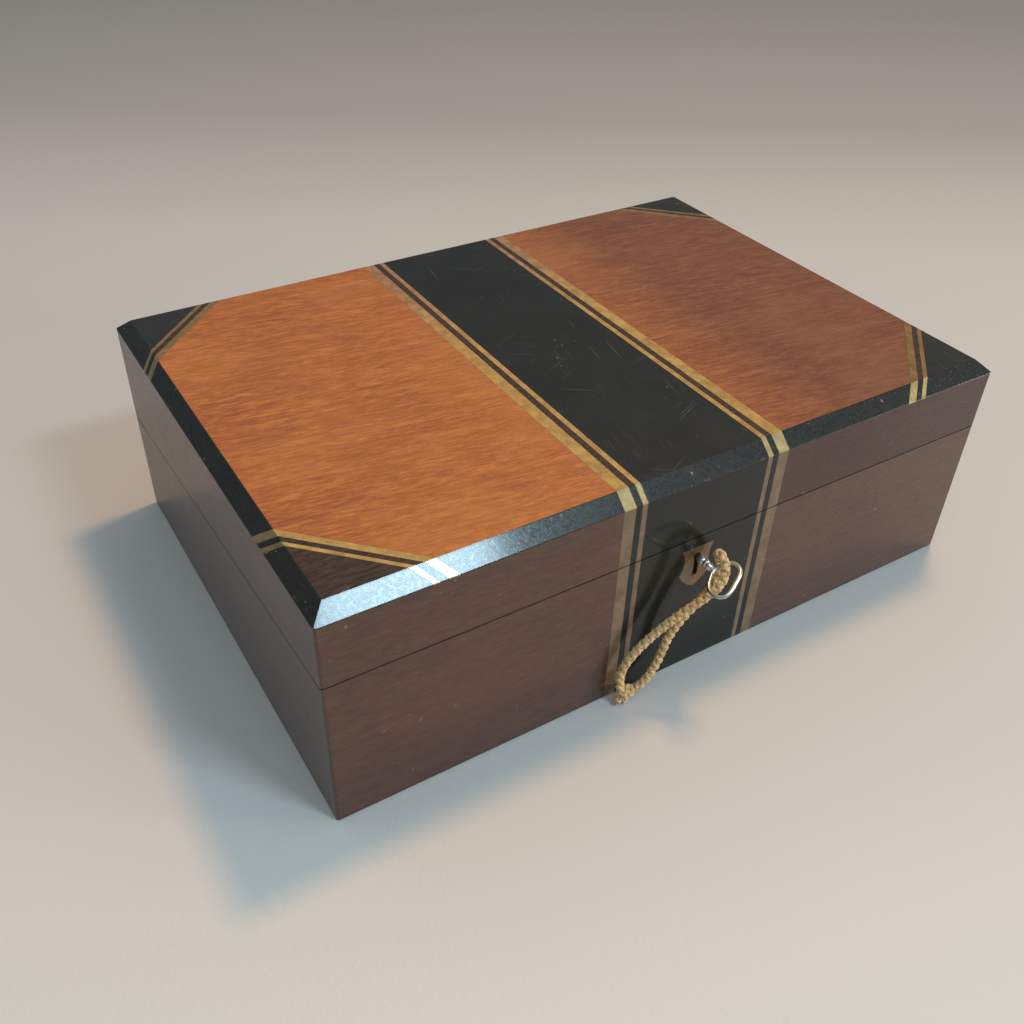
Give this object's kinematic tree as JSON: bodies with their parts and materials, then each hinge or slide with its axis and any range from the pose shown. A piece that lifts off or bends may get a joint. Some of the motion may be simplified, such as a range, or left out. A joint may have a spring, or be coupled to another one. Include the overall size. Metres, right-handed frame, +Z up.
{
  "type": "lap desk",
  "caption": "Closed wooden writing box, cut on a slant into base and lid, with inlaid band and corners, box lock, key on a cord and hinged writing flaps.",
  "frame": {"origin": "middle of the underside of the closed box", "axes": "+X to the right along the front, +Y from the front to the hinged back, +Z up"},
  "size_m": [0.35, 0.2724, 0.1135],
  "materials": {
    "mahogany_side": "dark stained mahogany, old satin polish",
    "mahogany_top": "warm polished mahogany with short dark flecks",
    "mahogany_inner": "plain mahogany, thin polish",
    "pine": "unpolished softwood",
    "ebony": "ebonised wood, worn polish",
    "boxwood": "pale boxwood stringing",
    "leather": "smooth dark green writing leather",
    "brass": "dull old brass",
    "steel": "bright polished steel",
    "cord": "braided tan cotton",
    "glass": "clear pressed glass"
  },
  "bodies": {
    "base": {"base_front_wall": "mahogany_side", "base_right_wall": "mahogany_side", "base_back_wall": "mahogany_side", "base_left_wall": "mahogany_side", "bottom_board": "pine", "base_band_ebony": "ebony", "base_band_strings": "boxwood", "escutcheon": "boxwood", "tray_rail": "mahogany_inner", "ink_partitions": "mahogany_inner", "pen_tray": "mahogany_inner", "inkwell_left": "glass", "inkwell_right": "glass", "inkwell_cap_left": "brass", "inkwell_cap_right": "brass", "base_ledges": "mahogany_inner", "lock_case": "brass", "lock_cover": "brass", "hinge_base_leaves": "brass", "hinge_pins": "brass", "base_flap_wall_leaves": "brass", "base_flap_pins": "brass"},
    "lid": {"lid_front_wall": "mahogany_side", "lid_right_wall": "mahogany_side", "lid_back_wall": "mahogany_side", "lid_left_wall": "mahogany_side", "top_board": "mahogany_top", "edging_front": "ebony", "edging_right": "ebony", "edging_back": "ebony", "edging_left": "ebony", "edging_strings": "boxwood", "top_band_ebony": "ebony", "top_band_strings": "boxwood", "corner_ebony": "ebony", "corner_strings": "boxwood", "lid_band_ebony": "ebony", "lid_band_strings": "boxwood", "lid_ledges": "mahogany_inner", "link_plate": "brass", "hinge_lid_leaves": "brass", "lid_flap_wall_leaves": "brass", "lid_flap_pins": "brass"},
    "base_flap": {"base_flap_board": "mahogany_inner", "base_flap_leather": "leather", "base_flap_tab": "leather", "base_flap_board_leaves": "brass"},
    "lid_flap": {"lid_flap_board": "mahogany_inner", "lid_flap_leather": "leather", "lid_flap_tab": "leather", "lid_flap_board_leaves": "brass"},
    "key": {"key": "steel", "key_cord": "cord", "cord_knot": "cord"},
    "bolt": {"lock_bolt": "brass"}
  },
  "joints": [
    {"name": "lid_hinge", "type": "hinge", "parent": "base", "child": "lid", "pos_m": [0, 0.1223, 0.05675], "axis": [-1, 0, 0], "range_deg": [0, 180]},
    {"name": "base_flap_hinge", "type": "hinge", "parent": "base", "child": "base_flap", "pos_m": [0, 0.1105, 0.05548], "axis": [-1, 0, 0], "range_deg": [0, 60]},
    {"name": "lid_flap_hinge", "type": "hinge", "parent": "lid", "child": "lid_flap", "pos_m": [0, 0.1105, 0.05998], "axis": [1, 0, 0], "range_deg": [0, 60]},
    {"name": "key_turn", "type": "hinge", "parent": "base", "child": "key", "pos_m": [0, -0.122, 0.0663], "axis": [0, -1, 0], "range_deg": [0, 68.4]},
    {"name": "bolt_slide", "type": "slide", "parent": "base", "child": "bolt", "axis": [-1, 0, 0], "range_m": [0, 0.0042]}
  ],
  "couplings": [
    {"joint": "base_flap_hinge", "follows": "lid_hinge", "ratio": 0.33333},
    {"joint": "lid_flap_hinge", "follows": "lid_hinge", "ratio": 0.33333},
    {"joint": "bolt_slide", "follows": "key_turn", "m_per_rad": 0.003518}
  ]
}
